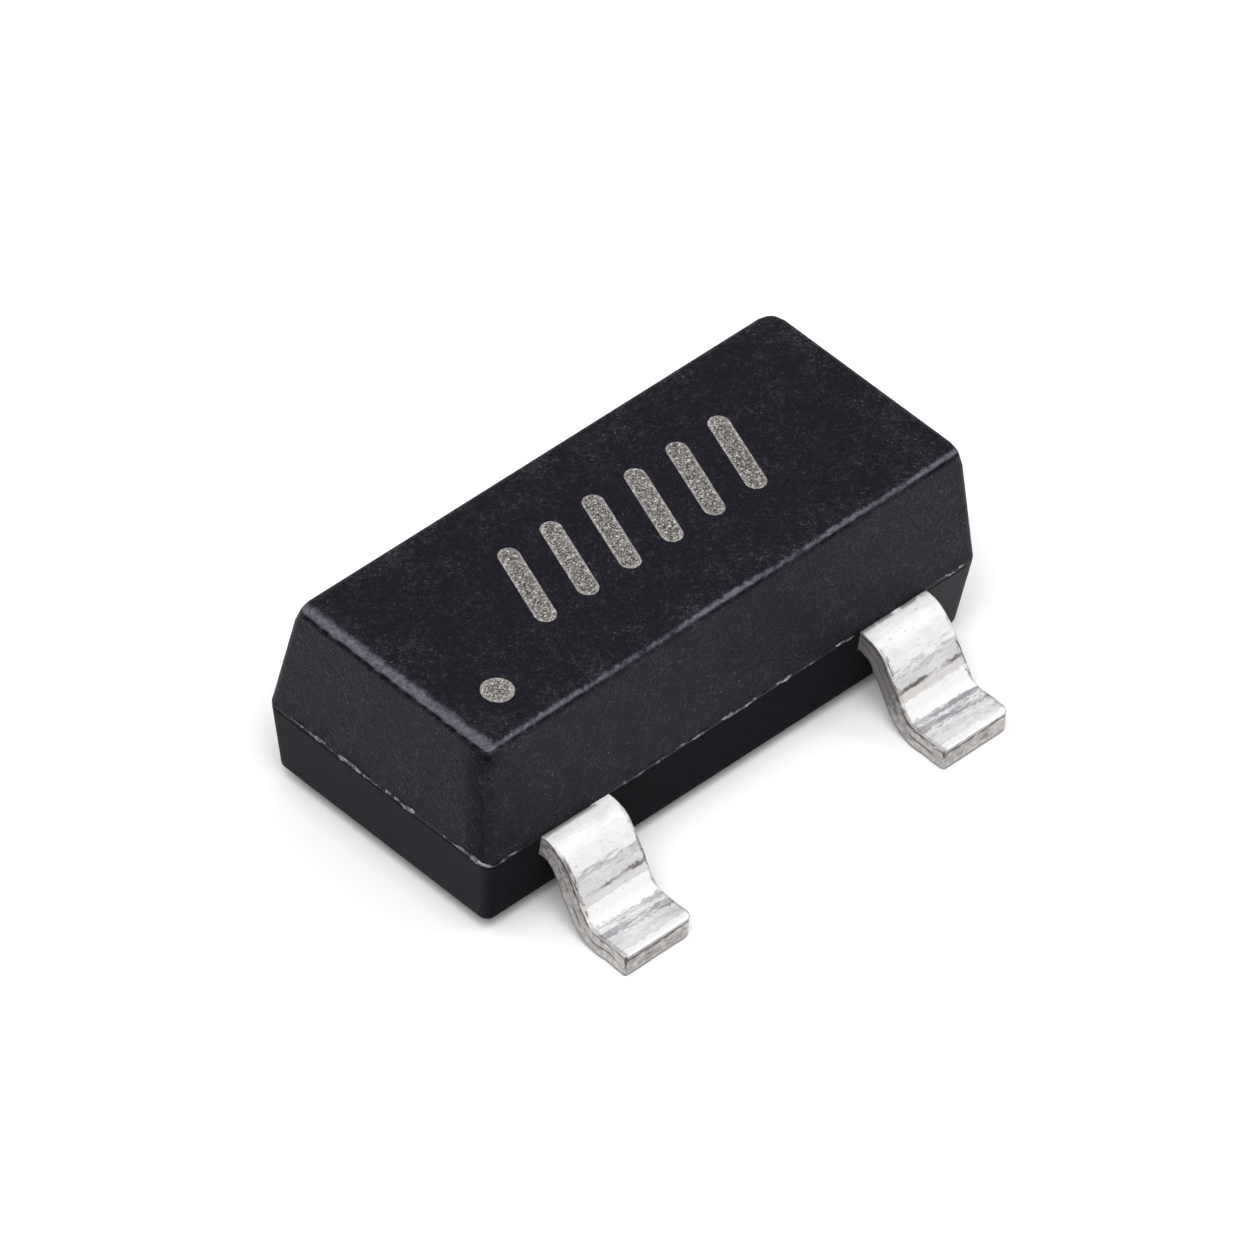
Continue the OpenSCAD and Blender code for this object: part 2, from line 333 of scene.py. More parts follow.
def lead_blank(name, centre, pad, mirror, side, shade_and_scuff, shift):
    """A flat stamped blank, level about its middle plane, with the marks of its die on it."""
    place, way = lead_section()
    along = lead_stations(pad[2])
    toe_corners = (TOE_CORNER_SHARP, TOE_CORNER_ROUND)[::mirror]
    low, high = lead_outline(along, centre, pad, toe_corners)
    waver = EDGE_WAVER * soft_step(along, OUTSIDE, OUTSIDE + 0.06)
    edge_line = np.column_stack([along, along * 0, along * 0])
    low += waver * (noise_at(edge_line, 0.09, shift) + 0.3 * noise_at(edge_line, 0.03, shift))
    high += waver * (noise_at(edge_line, 0.09, shift + 5.5) + 0.3 * noise_at(edge_line, 0.03, shift + 5.5))
    toe_in = end_rounding(along, TOE_EDGE)[:, None]
    half_width = (high - low)[:, None] / 2 - STAMPED_EDGE
    half_thick = LEAD_THICK / 2 - STAMPED_EDGE - toe_in * np.where(place[:, 1] > 0, 1, TOE_UNDER)
    across = (low + high)[:, None] / 2 + half_width * place[:, 0] + STAMPED_EDGE * way[:, 0]
    thick = half_thick * place[:, 1] + STAMPED_EDGE * way[:, 1]
    rings = np.stack([across, np.repeat(along[:, None], len(place), axis=1), thick], axis=-1)
    first, last = (lead_cap(ring) for ring in (rings[0], rings[-1]))
    rings = np.concatenate([first[::-1], rings, last])
    points, quads = loft(rings)
    ways = np.tile(way, (len(rings), 1))
    flat = np.zeros((len(rings), len(place)))
    flat[-CAP_STEPS - 3:] = 1
    flat[:CAP_STEPS] = 1
    end_face = flat.ravel()
    strip = points + np.array([shift * 3.7, 0, 0])
    gauge = (points - [centre, 0, 0]) * [mirror, 1, 1]
    stamped = np.abs(ways[:, 0]) * (1 - end_face)
    shown = soft_step(points[:, 1], OUTSIDE, OUTSIDE + 0.06)
    crack_line = 0.010 * noise_at(strip * [0, 1, 0], 0.11, shift + 0.3) - 0.004
    crack_end = 1 - soft_step(points[:, 1], blank_end - 0.075, blank_end - 0.060)
    crack = np.exp(-((points[:, 2] - crack_line) / 0.0065) ** 2) * crack_end * stamped * shown
    torn = soft_step(points[:, 2], crack_line, crack_line - 0.006) * stamped * shown
    ripple = noise_at(strip * [0.6, 1, 1], 0.060, shift + 0.7) + 0.4 * noise_at(strip, 0.022, shift)
    nicks = np.clip(noise_at(strip, 0.016, shift + 0.5), 0, 1)
    push = RIPPLE * ripple * shown * (1 - end_face)
    push = np.where(ways[:, 1] < 0, -np.abs(push), push)
    nicks *= np.abs(ways[:, 0] * ways[:, 1]) * shown * (1 - end_face)
    push -= CRACK_DEPTH * crack + TEAR_DEPTH * torn + NICK_DEPTH * nicks
    points[:, 0] += ways[:, 0] * push
    points[:, 2] += ways[:, 1] * push
    points[:, 1] += TOE_RIPPLE * ripple * shown * end_face
    points[:, 0] *= mirror
    points[:, 1] *= side
    trim = end_face * shown
    fields = {"strip": strip, "gauge": gauge, "stamped": stamped, "crack": crack, "trim": trim}
    fields["shade_and_scuff"] = np.full(len(points), shade_and_scuff)
    return mesh_piece(name, points, quads, fields)


def lead_cap(ring):
    """Rings that close the end of a blank on the middle line of its section."""
    middle = (ring[:, 0].min() + ring[:, 0].max()) / 2
    reach = (np.ptp(ring[:, 0]) - np.ptp(ring[:, 2])) / 2
    spine = ring.copy()
    spine[:, 0] = np.clip(ring[:, 0], middle - reach, middle + reach)
    spine[:, 2] = 0
    return cap_rings(ring, spine, CAP_STEPS)


def tree_inputs(tree, numbers, **others):
    """Gives a node tree its named inputs, and returns the sockets that carry them inside it."""
    for name, kind in {**others, **dict.fromkeys(numbers, "Float")}.items():
        tree.interface.new_socket(name, in_out="INPUT", socket_type="NodeSocket" + kind)
    return tree.nodes.new("NodeGroupInput").outputs


def geometry_tree(name, numbers, **others):
    """A new tree that makes geometry, and the sockets that carry its inputs inside it."""
    tree = bpy.data.node_groups.new(name, "GeometryNodeTree")
    tree.interface.new_socket("Made", in_out="OUTPUT", socket_type="NodeSocketGeometry")
    return tree, tree_inputs(tree, numbers, **others)


def forming_tree():
    """The forming tool: bends a flat blank down over the shoulder and out again into its foot."""
    numbers = (
        "Side", "Middle Height", "Shoulder Start", "Shoulder Radius", "Slope Angle", "Slope Length",
        "Foot Radius",
    )
    tree, given = geometry_tree("form_lead", numbers, Blank="Geometry", Finish="Material")
    angle, slope = given["Slope Angle"], given["Slope Length"]
    first, second = given["Shoulder Radius"], given["Foot Radius"]
    start = given["Shoulder Start"]

    def do(operation, *values):
        return calc(tree, operation, *values)

    def between(value, top):
        return do("MINIMUM", do("MAXIMUM", value, 0.0), top)

    place = add(tree, "GeometryNodeInputPosition").outputs[0]
    flat = add(tree, "ShaderNodeSeparateXYZ", {0: place}).outputs
    along = do("MULTIPLY", flat["Y"], given["Side"])
    past = do("SUBTRACT", along, start)
    first_arc = do("MULTIPLY", first, angle)
    past_first = do("SUBTRACT", past, first_arc)
    past_slope = do("SUBTRACT", past_first, slope)
    past_second = do("SUBTRACT", past_slope, do("MULTIPLY", second, angle))
    down_turn = between(do("DIVIDE", past, first), angle)
    up_turn = between(do("DIVIDE", past_slope, second), angle)
    run_down = between(past_first, slope)
    left = do("SUBTRACT", angle, up_turn)
    lean = do("SUBTRACT", down_turn, up_turn)

    out = do("ADD", do("MINIMUM", along, start), do("MULTIPLY", first, do("SINE", down_turn)))
    out = do("MULTIPLY_ADD", run_down, do("COSINE", angle), out)
    out = do("MULTIPLY_ADD", second, do("SUBTRACT", do("SINE", angle), do("SINE", left)), out)
    out = do("ADD", out, do("MAXIMUM", past_second, 0.0))
    out = do("MULTIPLY_ADD", flat["Z"], do("SINE", lean), out)
    fall = do("MULTIPLY", first, do("SUBTRACT", 1.0, do("COSINE", down_turn)))
    fall = do("MULTIPLY_ADD", run_down, do("SINE", angle), fall)
    fall = do("MULTIPLY_ADD", second, do("SUBTRACT", do("COSINE", left), do("COSINE", angle)), fall)
    high = do("MULTIPLY_ADD", flat["Z"], do("COSINE", lean), given["Middle Height"])
    formed = add(tree, "ShaderNodeCombineXYZ", {
        "X": flat["X"],
        "Y": do("MULTIPLY", out, given["Side"]),
        "Z": do("SUBTRACT", high, fall),
    }).outputs[0]
    bent = add(tree, "GeometryNodeSetPosition", {"Geometry": given["Blank"], "Position": formed})
    finish_tree(tree, bent.outputs[0], given["Finish"])
    return tree


def finish_tree(tree, geometry, finish):
    """Ends a geometry tree: real mesh in place of instances, and one material."""
    real = add(tree, "GeometryNodeRealizeInstances", {"Geometry": geometry})
    done = add(tree, "GeometryNodeSetMaterial", {"Geometry": real.outputs[0], "Material": finish})
    add(tree, "NodeGroupOutput", {0: done.outputs[0]})


def run_tree(piece, tree, **values):
    """Runs a geometry tree on a piece and keeps what it makes as the piece's plain mesh."""
    modifier = piece.modifiers.new(tree.name, "NODES")
    modifier.node_group = tree
    for item in tree.interface.items_tree:
        key = item.name.replace(" ", "_")
        if item.in_out == "INPUT" and key in values:
            modifier[item.identifier] = values[key]
    depsgraph = bpy.context.evaluated_depsgraph_get()
    shown = piece.evaluated_get(depsgraph)
    made = bpy.data.meshes.new_from_object(shown, preserve_all_data_layers=True, depsgraph=depsgraph)
    piece.modifiers.remove(modifier)
    before = piece.data
    piece.data = made
    bpy.data.meshes.remove(before)
    made.name = piece.name


def mottle_group():
    """Two sizes of blotch over each other, the unevenness that every surface here has."""
    group = bpy.data.node_groups.new("mottle", "ShaderNodeTree")
    given = tree_inputs(group, ("Coarse", "Fine", "Curl"), Vector="Vector")
    for name in ("Tone", "Height"):
        group.interface.new_socket(name, in_out="OUTPUT", socket_type="NodeSocketFloat")
    curled = {"Vector": given["Vector"], "Distortion": given["Curl"]}
    coarse = add(group, "ShaderNodeTexNoise", {**curled, "Scale": given["Coarse"], "Detail": 3.0})
    fine = add(group, "ShaderNodeTexNoise", {**curled, "Scale": given["Fine"], "Detail": 4.0})
    tone = fade(group, coarse.outputs[0], 0.3, 0.7)
    blotch = calc(group, "MULTIPLY", coarse.outputs[0], 0.4)
    relief = scaled(group, fine.outputs[0], 0.6, blotch)
    add(group, "NodeGroupOutput", {0: tone, 1: relief})
    return group


mottle = mottle_group()


def mottled(tree, vector, coarse, fine, curl=0.0):
    """Tone and height of the mottle, with blotches and grain of so many to a millimetre."""
    inputs = {"Vector": vector, "Coarse": coarse, "Fine": fine, "Curl": curl}
    return add(tree, "ShaderNodeGroup", inputs, node_tree=mottle).outputs


def finish_material(name, tree_maker, **settings):
    """A material whose maker links colour, roughness and height to one glossy surface."""
    material = bpy.data.materials.new(name)
    tree = empty_tree(material)
    colour, roughness, height, depth = tree_maker(tree)
    bump = add(tree, "ShaderNodeBump", {"Height": height, "Distance": depth * MM})
    linked = {"Base Color": colour, "Roughness": roughness, "Normal": bump.outputs[0]}
    surface = add(tree, "ShaderNodeBsdfPrincipled", {**settings, **linked})
    add(tree, "ShaderNodeOutputMaterial", {"Surface": surface.outputs[0]})
    return material


def field(tree, name):
    """A value that a mesh carries on its points."""
    return add(tree, "ShaderNodeAttribute", attribute_name=name).outputs


def stretched(tree, vector, factors):
    """A place in mm, drawn out by a factor on each axis."""
    return add(tree, "ShaderNodeVectorMath", {0: vector, 1: factors}, operation="MULTIPLY").outputs[0]


def split(tree, vector):
    """The three parts of a vector."""
    return add(tree, "ShaderNodeSeparateXYZ", {0: vector}).outputs


def times(tree, product, *factors):
    """The product of several values."""
    for factor in factors:
        product = calc(tree, "MULTIPLY", product, factor)
    return product


def stripe(tree, value, centre, half, soft):
    """1 within half of a line at centre, fading to 0 over soft."""
    off = calc(tree, "ABSOLUTE", calc(tree, "SUBTRACT", value, centre))
    return fade(tree, off, half + soft, half)


TIN_BRIGHT = (0.985, 0.983, 0.98, 1)
TIN_COOL = (0.805, 0.792, 0.812, 1)
TIN_WARM = (0.74, 0.705, 0.67, 1)
TIN_SCUFFED = (0.328, 0.309, 0.340, 1)
TIN_STAIN = (0.085, 0.066, 0.056, 1)
SHEARED_PALE = (0.78, 0.75, 0.735, 1)
SHEARED_DARK_AND_SHADE = (0.20, 0.188, 0.184, 1)
TARNISH_AND_SHADE = (0.060, 0.047, 0.042, 1)
CRACK_DARK = (0.060, 0.050, 0.044, 1)
WASH = (slope_start + 0.037, slope_start + 0.095)
TOOL_MARK = foot_start - 0.083
# Where along the lead the painted highlight crosses the bend.
BEND_HIGHLIGHT = (foot_start - 0.033, foot_start + 0.085)
FOOT_STREAKS = ((0.012, 0.014, 1.38), (-0.050, 0.010, 1.10), (0.078, 0.003, 0.40))
SCUFF_LEAN = 0.06
SHOULDER_DIRT = (0.703, 0.686)
CRACK_OPEN = (1.11, 1.18)
CRACK_GAPE = (1.03, 0.02, 0.03)
TIN_GRAIN = 0.003
TOE_BEVEL = blank_end - 0.036


def tin_top(tree, across, along, high, strip):
    """The plated faces: grey wash and tool mark on the slope, a painted highlight in the bend, scuffed on
    the foot.
    """
    blotch = mottled(tree, strip, 7.0, 40.0)
    streaks = mottled(tree, stretched(tree, strip, (0.16, 1.0, 1.0)), 24.0, 95.0)
    drawn = mottled(tree, stretched(tree, strip, (1.0, 0.16, 1.0)), 40.0, 120.0)
    grit = mottled(tree, stretched(tree, strip, (0.35, 1.0, 1.0)), 70.0, 180.0)
    sway = scaled(tree, blotch["Height"], 0.10, -0.05)
    swerve = calc(tree, "ADD", along, sway)
    drift = scaled(tree, sway, 0.6, along)
    leant = scaled(tree, across, -SCUFF_LEAN, swerve)
    hatched = scaled(tree, streaks["Height"], 0.22, calc(tree, "SUBTRACT", along, 0.11))
    hatch = scaled(tree, grit["Height"], 1.1, -0.55)
    # Painted highlight: a white band across the bend and along the toe's top edge, kept free of grey.
    painted_highlight = times(
        tree, fade(tree, swerve, BEND_HIGHLIGHT[0] - 0.004, BEND_HIGHLIGHT[0] + 0.004),
        fade(tree, leant, BEND_HIGHLIGHT[1] + 0.008, BEND_HIGHLIGHT[1] - 0.004),
    )
    painted_highlight = most(tree, painted_highlight, fade(tree, drift, TOE_BEVEL - 0.003, TOE_BEVEL + 0.003))
    cool = scaled(tree, fade(tree, streaks["Height"], 0.42, 0.64), 0.45, hatch)
    cool = scaled(tree, blotch["Tone"], 0.45, calc(tree, "ADD", cool, 0.04))
    cool = times(tree, cool, calc(tree, "SUBTRACT", 1.0, painted_highlight))
    colour = mix(tree, cool, TIN_BRIGHT, TIN_COOL)

    stroked = scaled(tree, fade(tree, streaks["Height"], 0.42, 0.58), 0.38, 0.20)
    wash = times(
        tree, fade(tree, hatched, WASH[0] - 0.012, WASH[0] + 0.016),
        fade(tree, along, WASH[1] + 0.02, WASH[1] - 0.02), calc(tree, "ADD", stroked, hatch),
    )
    facet = times(
        tree, fade(tree, swerve, WASH[0] + 0.01, WASH[0] + 0.04),
        fade(tree, along, BEND_HIGHLIGHT[0], BEND_HIGHLIGHT[0] - 0.006),
        scaled(tree, streaks["Tone"], 0.18, scaled(tree, hatch, 0.5, 0.25)),
    )
    on_foot = times(
        tree, fade(tree, leant, BEND_HIGHLIGHT[1], BEND_HIGHLIGHT[1] + 0.010),
        fade(tree, drift, TOE_BEVEL + 0.003, TOE_BEVEL - 0.003),
    )
    to_right = fade(tree, across, -0.18, 0.12)
    scuff = scaled(tree, streaks["Tone"], 0.16, scaled(tree, hatch, 0.5, 0.11))
    wiped = calc(tree, "ADD", fade(tree, streaks["Height"], 0.28, 0.70), hatch)
    handled = times(tree, to_right, field(tree, "shade_and_scuff")["Fac"])
    leaning = scaled(tree, handled, 0.46, 0.54)
    for past, half, depth in FOOT_STREAKS:
        smear = stripe(tree, leant, foot_flat_start + past, half, 0.020)
        scuff = calc(tree, "ADD", scuff, times(tree, smear, wiped, leaning, depth))
    scuff = most(tree, wash, facet, times(tree, scuff, on_foot))
    colour = mix(tree, scuff, colour, TIN_SCUFFED)
    warm = times(
        tree, fade(tree, swerve, TOOL_MARK, TOOL_MARK + 0.012),
        fade(tree, drift, BEND_HIGHLIGHT[0] + 0.002, BEND_HIGHLIGHT[0] - 0.003),
        scaled(tree, streaks["Tone"], 0.50, 0.35),
    )
    colour = mix(tree, warm, colour, TIN_WARM)

    thumb = times(tree, stripe(tree, across, 0.13, 0.01, 0.06), 0.25)
    smear = times(tree, stripe(tree, across, -0.09, 0.05, 0.05), 0.28)
    thumb = calc(tree, "ADD", thumb, smear)
    faint = times(tree, fade(tree, streaks["Tone"], 0.10, 0.60), 0.62)
    mark = times(tree, stripe(tree, drift, TOOL_MARK, 0.003, 0.012), calc(tree, "ADD", thumb, faint))
    worn_edge = fade(tree, drawn["Height"], 0.42, 0.54)
    frayed = scaled(tree, sway, 0.5, calc(tree, "ABSOLUTE", across))
    brink = times(
        tree, fade(tree, frayed, LEAD_WIDTH / 2 - 0.024, LEAD_WIDTH / 2 - 0.010),
        fade(tree, along, OUTSIDE + 0.06, OUTSIDE + 0.16), worn_edge, 0.9,
        scaled(tree, fade(tree, along, BEND_HIGHLIGHT[0], BEND_HIGHLIGHT[1]), -0.5, 1.0),
    )
    dirt = times(tree, fade(tree, along, *SHOULDER_DIRT), fade(tree, blotch["Tone"], 0.22, 0.55), 0.8)
    scratch = times(tree, fade(tree, grit["Height"], 0.60, 0.67), 0.40)
    upper = fade(tree, high, 0.030, 0.045)
    mark = times(tree, most(tree, mark, brink, dirt, scratch), upper)
    colour = mix(tree, mark, colour, TIN_STAIN)
    return colour, scuff, (blotch, streaks, drawn), sway


def tin_finish(tree):
    """Satin tin plate, with bare sheared metal on the sides and the toe, dark along its edges; painted shade
    darkens the sides towards the body and the toe's rounded corner.
    """
    across, along, high = split(tree, field(tree, "gauge")["Vector"])
    stamped, trim = field(tree, "stamped")["Fac"], field(tree, "trim")["Fac"]
    colour, scuff, mottles, sway = tin_top(tree, across, along, high, field(tree, "strip")["Vector"])
    blotch, streaks, drawn = mottles

    # Painted shade: the cut sides darken towards the body, by each lead's own amount.
    shaded = times(tree, fade(tree, along, blank_end - 0.10, OUTSIDE + 0.05), field(tree, "shade_and_scuff")["Fac"])
    stained = scaled(tree, fade(tree, blotch["Height"], 0.40, 0.60), 0.40, -0.05)
    side_tone = scaled(tree, fade(tree, drawn["Height"], 0.38, 0.62), 0.30, stained)
    side_tone = calc(tree, "ADD", side_tone, shaded)
    toe_tone = scaled(tree, fade(tree, streaks["Height"], 0.38, 0.62), 0.30, stained)
    toe_tone = calc(tree, "ADD", toe_tone, 0.13)
    colour = mix(tree, stamped, colour, mix(tree, side_tone, SHEARED_PALE, SHEARED_DARK_AND_SHADE))
    colour = mix(tree, trim, colour, mix(tree, toe_tone, SHEARED_PALE, SHEARED_DARK_AND_SHADE))

    cut = most(tree, stamped, trim)
    uneven = scaled(tree, sway, 0.35, high)
    worn_edge = fade(tree, drawn["Height"], 0.40, 0.52)
    # Darker towards the bottom of the sides and the toe.
    dark = times(tree, fade(tree, uneven, -0.038, -0.054), cut, 0.8)
    lip = times(tree, stripe(tree, uneven, 0.047, 0.003, 0.006), stamped, worn_edge, 0.9)
    nicked = fade(tree, streaks["Height"], 0.36, 0.46)
    toe_edge = times(tree, stripe(tree, uneven, 0.037, 0.003, 0.005), trim, nicked, 0.95)
    # Painted shade where the toe face turns round its rounded corner.
    turned = times(tree, fade(tree, across, LEAD_WIDTH / 2 - 0.035, LEAD_WIDTH / 2 - 0.005), trim, 0.45)
    dash = times(tree, fade(tree, streaks["Height"], 0.58, 0.64), trim, 0.7)
    from_corner = add(tree, "ShaderNodeCombineXYZ", {
        "X": calc(tree, "ADD", across, LEAD_WIDTH / 2), "Y": calc(tree, "SUBTRACT", along, blank_end),
    })
    off = add(tree, "ShaderNodeVectorMath", {0: from_corner.outputs[0]}, operation="LENGTH").outputs["Value"]
    wide = scaled(tree, fade(tree, uneven, 0.0, 0.045), 0.007, 0.006)
    ragged = scaled(tree, sway, 0.25, off)
    corner = times(tree, fade(tree, calc(tree, "DIVIDE", ragged, wide), 1.4, 0.7), 0.9)
    dark = most(tree, dark, lip, toe_edge, turned, dash, corner)
    # Tarnished edges, and painted shade at the toe's rounded corner, go dark.
    colour = mix(tree, dark, colour, TARNISH_AND_SHADE)
    opened = most(tree, fade(tree, along, *CRACK_OPEN), stripe(tree, along, *CRACK_GAPE))
    crack = times(tree, field(tree, "crack")["Fac"], scaled(tree, opened, 0.65, 0.25))
    colour = mix(tree, crack, colour, CRACK_DARK)
    roughness = scaled(tree, cut, 0.15, scaled(tree, scuff, 0.2, 0.37))
    return colour, roughness, streaks["Height"], TIN_GRAIN


tin = finish_material("tin_plate", tin_finish, Metallic=0.12)
form_lead = forming_tree()
# The last number is a lead's painted shade on its sides, which also deepens its foot scuffs to the right.
LEADS = {
    "collector_lead": (0.0, DIE_PAD, 1, 1, 0.72),
    "base_lead": (LEAD_PITCH, POST, -1, -1, 0.52),
    "emitter_lead": (LEAD_PITCH, POST, 1, -1, 1.40),
}
for number, (node_name, (centre, pad, mirror, side, shade_and_scuff)) in enumerate(LEADS.items()):
    piece_name = node_name.replace("lead", "formed_lead")
    lead = lead_blank(piece_name, centre, pad, mirror, side, shade_and_scuff, number + 0.21)
    run_tree(
        lead, form_lead, Side=float(side), Middle_Height=lead_mid * MM,
        Shoulder_Start=SHOULDER_START * MM, Shoulder_Radius=SHOULDER_RADIUS * MM,
        Slope_Angle=LEAD_SLOPE, Slope_Length=SLOPE_LENGTH * MM, Foot_Radius=FOOT_RADIUS * MM,
        Finish=tin,
    )
    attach(lead, "root")
    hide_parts(node_name)

# Die attach. A thin pad of silver-filled adhesive, cured between the die pad and the die.
ADHESIVE_PALE = (0.55, 0.54, 0.52, 1)
ADHESIVE_DARK = (0.30, 0.29, 0.27, 1)
ADHESIVE_GRAIN = 0.002


def object_mm(tree):
    """Place on the part, in mm."""
    place = add(tree, "ShaderNodeTexCoord").outputs["Object"]
    return stretched(tree, place, (1 / MM, 1 / MM, 1 / MM))


def adhesive_finish(tree):
    """Dull silver-grey paste with coarse filler."""
    flakes = mottled(tree, object_mm(tree), 30.0, 120.0)
    colour = mix(tree, flakes["Tone"], ADHESIVE_PALE, ADHESIVE_DARK)
    roughness = scaled(tree, flakes["Height"], 0.3, 0.4)
    return colour, roughness, flakes["Height"], ADHESIVE_GRAIN


def dress_node(node_name, material):
    """Gives a node of the frame its finish."""
    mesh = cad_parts[node_name].data
    mesh.materials.clear()
    mesh.materials.append(material)


dress_node("die_attach", finish_material("silver_adhesive", adhesive_finish, Metallic=0.6))

# Transistor die. A square of silicon sawn from a wafer, bonded down with its circuit side up.
SILICON_BLUE = (0.10, 0.11, 0.14, 1)
SILICON_GREY = (0.16, 0.16, 0.17, 1)
SILICON_GRAIN = 0.0004


def silicon_finish(tree):
    """Polished silicon with a faint change of tint."""
    tint = mottled(tree, object_mm(tree), 6.0, 80.0)
    colour = mix(tree, tint["Tone"], SILICON_BLUE, SILICON_GREY)
    roughness = scaled(tree, tint["Tone"], 0.1, 0.12)
    return colour, roughness, tint["Height"], SILICON_GRAIN


dress_node("transistor_die", finish_material("silicon", silicon_finish, Metallic=0.4))

# Bond wires. Fine gold wire, melted to a ball on the die and pressed flat on each bond post.
GOLD_BRIGHT = (0.94, 0.70, 0.30, 1)
GOLD_DEEP = (0.80, 0.55, 0.20, 1)
GOLD_GRAIN = 0.0006


def gold_finish(tree):
    """Soft drawn gold."""
    drawn = mottled(tree, object_mm(tree), 25.0, 140.0)
    colour = mix(tree, drawn["Tone"], GOLD_BRIGHT, GOLD_DEEP)
    roughness = scaled(tree, drawn["Height"], 0.15, 0.15)
    return colour, roughness, drawn["Height"], GOLD_GRAIN


gold = finish_material("bond_gold", gold_finish, Metallic=1.0)
for wire_name in ("base_bond_wire", "emitter_bond_wire"):
    dress_node(wire_name, gold)

# Moulded body. Black epoxy with silica filler, moulded round the lead frame in a two-part tool:
# both halves are drafted and meet at the parting line. Handling has rubbed the left end's top
# edge grey and chipped the resin below it, and the near long edge is rubbed more lightly.
LAND = 0.03
CORNER = 0.05
RIM = 0.036
LOW_RIM = 0.030
CORNER_ZONE = 0.09
CORNER_PULL = 0.18
# Painted shade with a matt finish: how much on the bottom rim, the end walls and by the front corner.
UNDER_MATT_AND_SHADE = 0.7
END_MATT_AND_SHADE = 0.66
CORNER_DULL_AND_SHADE = 0.8
CORNER_SHADE_REACH = 0.30
DUST_REACH = 0.25
RUB_DEPTH = 0.003
LEFT_RUB_DEPTH = 0.006
CHIP_DEPTH = 0.009
LAND_SWELL = 0.0035
TOP_DRAFT = (math.radians(3.5), math.radians(8.2))
LOW_DRAFT = (math.radians(6.6), math.radians(4.8))
END_POINTS = 124
SIDE_POINTS = 280
CORNER_POINTS = 8
PARTING = lead_top
EDGE_STEP = 0.005
EDGE_ZONE = 0.12

body_low, body_high = (np.array(corner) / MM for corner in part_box("moulded_body"))
half_length, half_width = body_high[:2]
body_top, body_bottom = body_high[2], body_low[2]


def body_outline(length, width, radius):
    """Points round a rounded rectangle of those half sizes, counter-clockwise from its right end."""
    turn = np.linspace(0, math.pi / 2, CORNER_POINTS + 1)
    pieces = []
    for k, (sx, sy) in enumerate([(1, 1), (-1, 1), (-1, -1), (1, -1)]):
        angle = turn + k * math.pi / 2
        centre = np.array([sx * (length - radius), sy * (width - radius)])
        pieces.append(centre + radius * np.stack([np.cos(angle), np.sin(angle)], axis=1))
    ring = []
    for k, count in enumerate([SIDE_POINTS, END_POINTS, SIDE_POINTS, END_POINTS]):
        start, end = pieces[k][-1], pieces[(k + 1) % 4][0]
        share = np.linspace(0, 1, count + 1)[1:-1, None]
        ring += [pieces[k], start + share * (end - start)]
    return np.concatenate(ring)


def body_ways():
    """The outward way, seen from above, at each point round the body."""
    wide = body_outline(half_length, half_width, CORNER)
    inner = np.clip(wide, [CORNER - half_length, CORNER - half_width],
                    [half_length - CORNER, half_width - CORNER])
    way = wide - inner
    return way / np.linalg.norm(way, axis=1)[:, None]


def body_levels():
    """The body from bottom to top: half sizes, corner radius and height of each level."""
    low_size, top_size = face_size(body_bottom, LOW_DRAFT), face_size(body_top, TOP_DRAFT)
    full = np.array([half_length, half_width])
    arc = np.linspace(0, math.pi / 2, 9)
    levels = []
    for a in arc[::-2]:
        inset = LOW_RIM * (1 - math.cos(a))
        levels.append((*(low_size - inset), CORNER - inset, body_bottom + LOW_RIM * (1 - math.sin(a))))
    low_rim, top_rim = body_bottom + LOW_RIM, body_top - RIM
    land_low, land_high = PARTING - LAND / 2, PARTING + LAND / 2
    under_land = 1 - np.arange(4, 0, -1) * EDGE_STEP / (land_low - low_rim)
    for share in [*np.linspace(0, under_land[0], 9)[1:-1], *under_land]:
        size = low_size + share * (full - low_size)
        levels.append((*size, CORNER, low_rim + share * (land_low - low_rim)))
    for z in np.linspace(land_low, land_high, 6):
        levels.append((*full, CORNER, z))
    near_rim = np.arange(1 - EDGE_STEP * 11 / (top_rim - land_high), 1, EDGE_STEP / (top_rim - land_high))
    for share in [*np.linspace(0, near_rim[0], 16)[1:-1], *near_rim]:
        size = full + share * (top_size - full)
        levels.append((*size, CORNER, land_high + share * (top_rim - land_high)))
    for a in arc:
        inset = RIM * (1 - math.cos(a))
        levels.append((*(top_size - inset), CORNER - inset, top_rim + RIM * math.sin(a)))
    for inset in np.arange(RIM + EDGE_STEP, EDGE_ZONE, EDGE_STEP):
        levels.append((*(top_size - inset), max(CORNER - inset, EDGE_STEP), body_top))
    return levels


def body_ring(length, width, radius, z):
    """One level of the body as points."""
    outline = body_outline(length, width, radius)
    return np.column_stack([outline, np.full(len(outline), z)])


def body_cap(ring, steps):
    """Rings that close the top or the bottom on the body's middle line."""
    reach = ring[:, 0].max() - ring[:, 1].max()
    spine = ring.copy()
    spine[:, 0] = np.clip(ring[:, 0], -reach, reach)
    spine[:, 1] = 0
    return cap_rings(ring, spine, steps)


def face_size(z, draft):
    """Half sizes of the body where its drafted walls reach a height."""
    return np.array([half_length, half_width]) - (abs(z - PARTING) - LAND / 2) * np.tan(draft)


def ease_corners(points, size):
    """Rounds off the four corners of the top face, where three faces meet."""
    outward = np.sign(points)
    reach = np.column_stack([np.abs(points[:, :2]) - size, points[:, 2] - body_top]) + CORNER_ZONE
    reach = np.clip(reach, 0, None)
    pull = CORNER_PULL * np.prod(np.clip(reach / CORNER_ZONE, 0, 1), axis=1)
    points -= outward * reach * pull[:, None]


